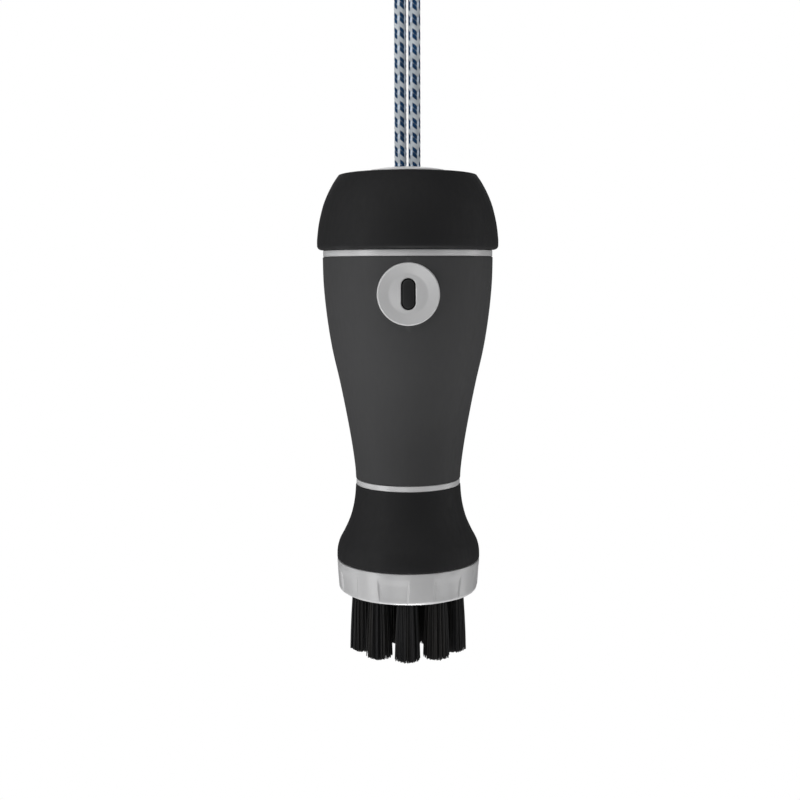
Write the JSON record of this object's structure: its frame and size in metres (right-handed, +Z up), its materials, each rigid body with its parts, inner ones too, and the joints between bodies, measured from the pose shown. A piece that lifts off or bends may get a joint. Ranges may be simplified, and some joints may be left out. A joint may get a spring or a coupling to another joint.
{
  "type": "club groove brush",
  "caption": "Water-filled golf club groove brush: flared handle with screw cap, thumb vent button and screwed brush head, hung bristles down on a doubled cord and snap hook.",
  "frame": {"origin": "centre of the flat seat inside the top of the snap hook, where the brush hangs", "axes": "+Z up along the handle's axis, front (the button) towards -Y, bristles down; the snap hook's plate lies in the YZ plane"},
  "size_m": [0.045, 0.045, 0.2278],
  "materials": {
    "cap_black": "soft-touch black, faint sheen",
    "sleeve_grey": "soft-touch dark grey",
    "trim_grey": "satin light-grey moulded plastic",
    "button_dark": "dark moulded plastic",
    "bristle": "black nylon filaments",
    "cord": "light-grey braid with dark-blue flecks",
    "tank_clear": "natural translucent polypropylene",
    "seal_rubber": "black rubber",
    "silicone": "milky silicone",
    "steel": "stainless wire",
    "hook_metal": "satin aluminium"
  },
  "bodies": {
    "hanger": {"snap_hook": "hook_metal", "cord_loop": "cord", "cord_knot": "cord", "cord_grommet": "trim_grey", "cap_shell": "cap_black", "cap_core": "tank_clear"},
    "gate": {"wire_gate": "steel"},
    "neck_seal": {"neck_gasket": "seal_rubber"},
    "handle": {"reservoir": "tank_clear", "body_sleeve": "sleeve_grey", "upper_trim_ring": "trim_grey", "waist_ring": "trim_grey", "collar": "cap_black", "button_bezel": "trim_grey", "valve_body": "tank_clear", "stem_seal": "seal_rubber", "button_spring": "steel", "outlet_nut": "tank_clear", "outlet_valve": "silicone", "valve_retainer": "tank_clear"},
    "thumb_button": {"button": "button_dark", "button_stem": "steel", "vent_disc": "seal_rubber", "stem_clip": "steel"},
    "brush_head": {"brush_plate": "cap_black", "head_gasket": "seal_rubber", "tuft_01": "bristle", "tuft_02": "bristle", "tuft_03": "bristle", "tuft_04": "bristle", "tuft_05": "bristle", "tuft_06": "bristle", "tuft_07": "bristle", "tuft_08": "bristle", "tuft_09": "bristle", "tuft_10": "bristle", "tuft_11": "bristle", "tuft_12": "bristle", "tuft_13": "bristle", "tuft_14": "bristle", "tuft_15": "bristle"},
    "ring": {"grip_ring": "trim_grey"}
  },
  "joints": [
    {"name": "gate_hinge", "type": "hinge", "parent": "hanger", "child": "gate", "pos_m": [0, -0.01, -0.0284], "axis": [-1, 0, 0], "range_deg": [0, 45], "stiffness_Nm_per_rad": 0.01, "springref_deg": -5.73},
    {"name": "cap_thread_travel", "type": "slide", "parent": "hanger", "child": "neck_seal", "axis": [0, 0, -1], "range_m": [0, 0.0064]},
    {"name": "cap_thread_turn", "type": "hinge", "parent": "neck_seal", "child": "handle", "pos_m": [0, 0, -0.119], "axis": [0, 0, -1], "range_deg": [0, 720]},
    {"name": "button_press", "type": "slide", "parent": "handle", "child": "thumb_button", "axis": [0, 1, 0], "range_m": [0, 0.0016], "stiffness_N_per_m": 300, "springref_m": -0.0003, "deforming": ["button_spring"]},
    {"name": "head_thread_travel", "type": "slide", "parent": "handle", "child": "brush_head", "axis": [0, 0, -1], "range_m": [0, 0.0027]},
    {"name": "grip_ring_turn", "type": "hinge", "parent": "brush_head", "child": "ring", "pos_m": [0, 0, -0.203], "axis": [0, 0, -1], "range_deg": [0, 540]}
  ],
  "couplings": [
    {"joint": "cap_thread_turn", "follows": "cap_thread_travel", "rad_per_m": 1963.5},
    {"joint": "grip_ring_turn", "follows": "head_thread_travel", "rad_per_m": 3490.7}
  ]
}
